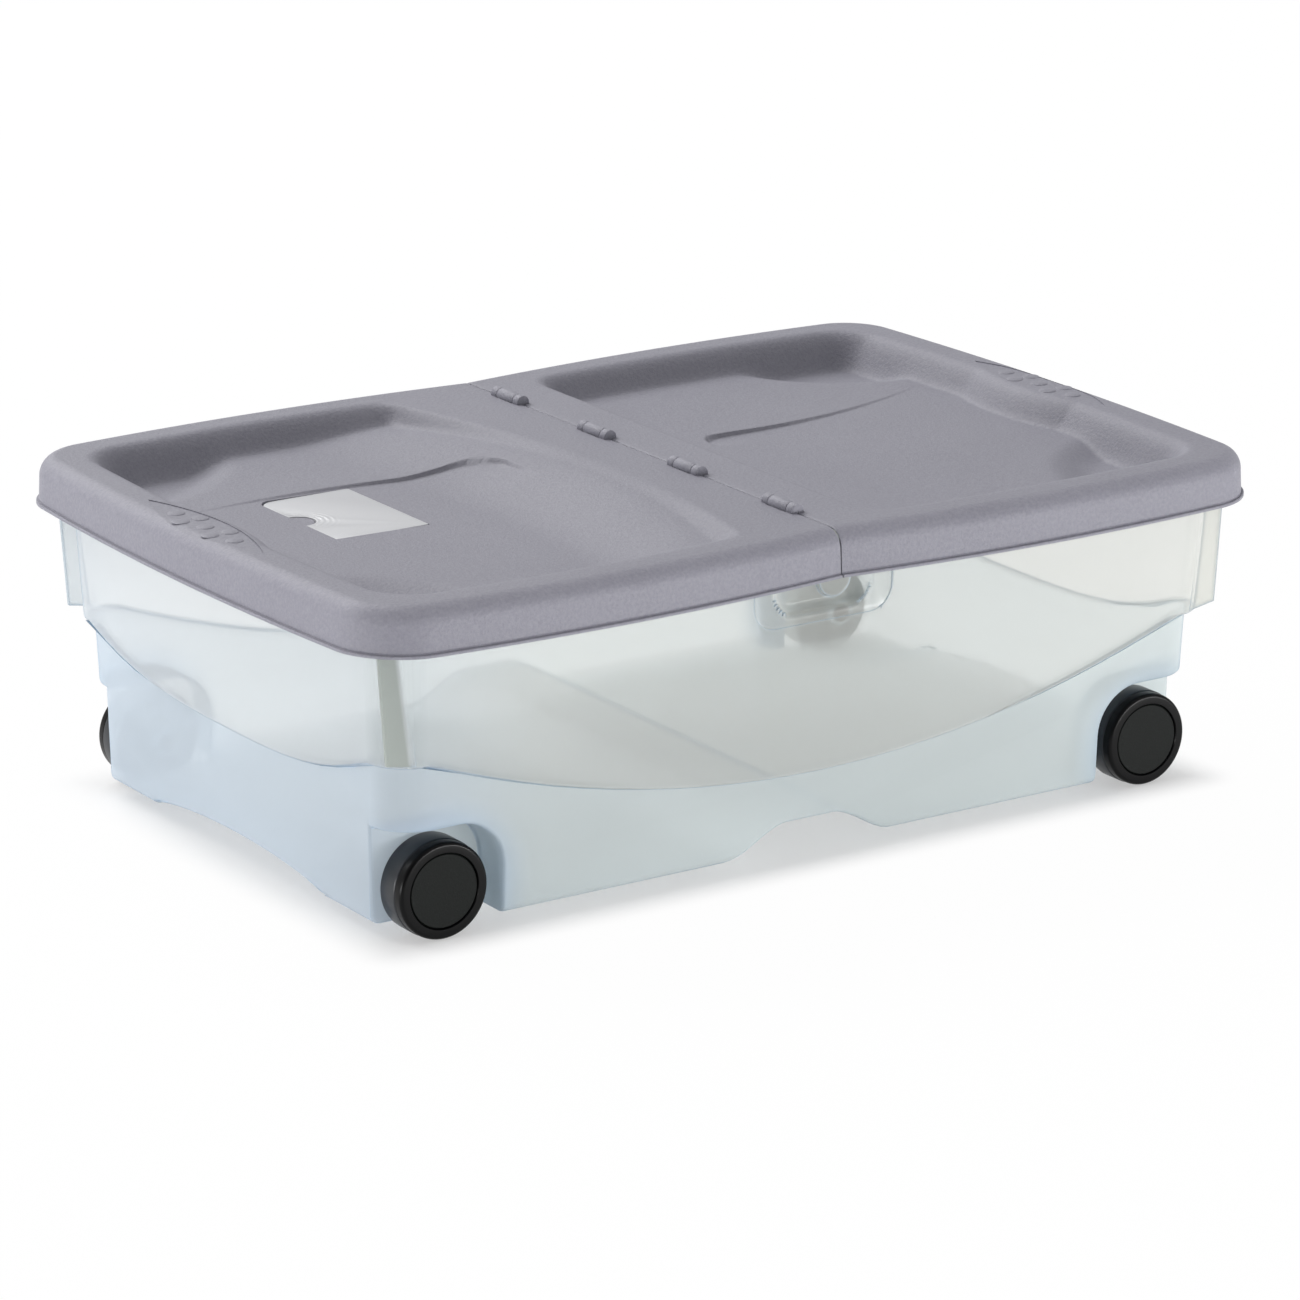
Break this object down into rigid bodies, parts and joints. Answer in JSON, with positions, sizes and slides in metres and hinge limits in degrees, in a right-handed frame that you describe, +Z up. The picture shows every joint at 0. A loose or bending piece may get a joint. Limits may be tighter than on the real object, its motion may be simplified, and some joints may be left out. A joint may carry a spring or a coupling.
{
  "type": "under bed box",
  "caption": "Low translucent storage box on wheels for under a bed, with a two-part lid whose halves fold up about a hinge across the middle.",
  "frame": {"origin": "on the floor under the middle of the box", "axes": "+X along the length towards the lid half without a label, +Y from the front long wall to the back one, +Z up"},
  "size_m": [0.5992, 0.4092, 0.1985],
  "materials": {
    "tub": "natural polypropylene, clear above the step and frosted below",
    "lid": "fine grained polypropylene, grey mauve",
    "label": "smooth pale polypropylene",
    "tread": "glossy black",
    "cap": "textured black",
    "pin": "smooth black acetal"
  },
  "bodies": {
    "tub": {"tub": "tub"},
    "lid_left": {"lid_left": "lid", "label_plate": "label"},
    "lid_right": {"lid_right": "lid"},
    "wheel_front_left": {"wheel_barrel_front_left": "tread", "wheel_cap_front_left": "cap", "axle_pin_front_left": "pin"},
    "wheel_front_right": {"wheel_barrel_front_right": "tread", "wheel_cap_front_right": "cap", "axle_pin_front_right": "pin"},
    "wheel_back_left": {"wheel_barrel_back_left": "tread", "wheel_cap_back_left": "cap", "axle_pin_back_left": "pin"},
    "wheel_back_right": {"wheel_barrel_back_right": "tread", "wheel_cap_back_right": "cap", "axle_pin_back_right": "pin"}
  },
  "joints": [
    {"name": "lid_left_fold", "type": "hinge", "parent": "tub", "child": "lid_left", "pos_m": [0, 0, 0.1944], "axis": [0, 1, 0], "range_deg": [0, 180]},
    {"name": "lid_right_fold", "type": "hinge", "parent": "tub", "child": "lid_right", "pos_m": [0, 0, 0.1944], "axis": [0, -1, 0], "range_deg": [0, 180]},
    {"name": "wheel_front_left_roll", "type": "hinge", "parent": "tub", "child": "wheel_front_left", "pos_m": [-0.233, -0.156, 0.0272], "axis": [0, 1, 0], "continuous": true},
    {"name": "wheel_front_right_roll", "type": "hinge", "parent": "tub", "child": "wheel_front_right", "pos_m": [0.233, -0.156, 0.0272], "axis": [0, 1, 0], "continuous": true},
    {"name": "wheel_back_left_roll", "type": "hinge", "parent": "tub", "child": "wheel_back_left", "pos_m": [-0.233, 0.156, 0.0272], "axis": [0, 1, 0], "continuous": true},
    {"name": "wheel_back_right_roll", "type": "hinge", "parent": "tub", "child": "wheel_back_right", "pos_m": [0.233, 0.156, 0.0272], "axis": [0, 1, 0], "continuous": true}
  ]
}
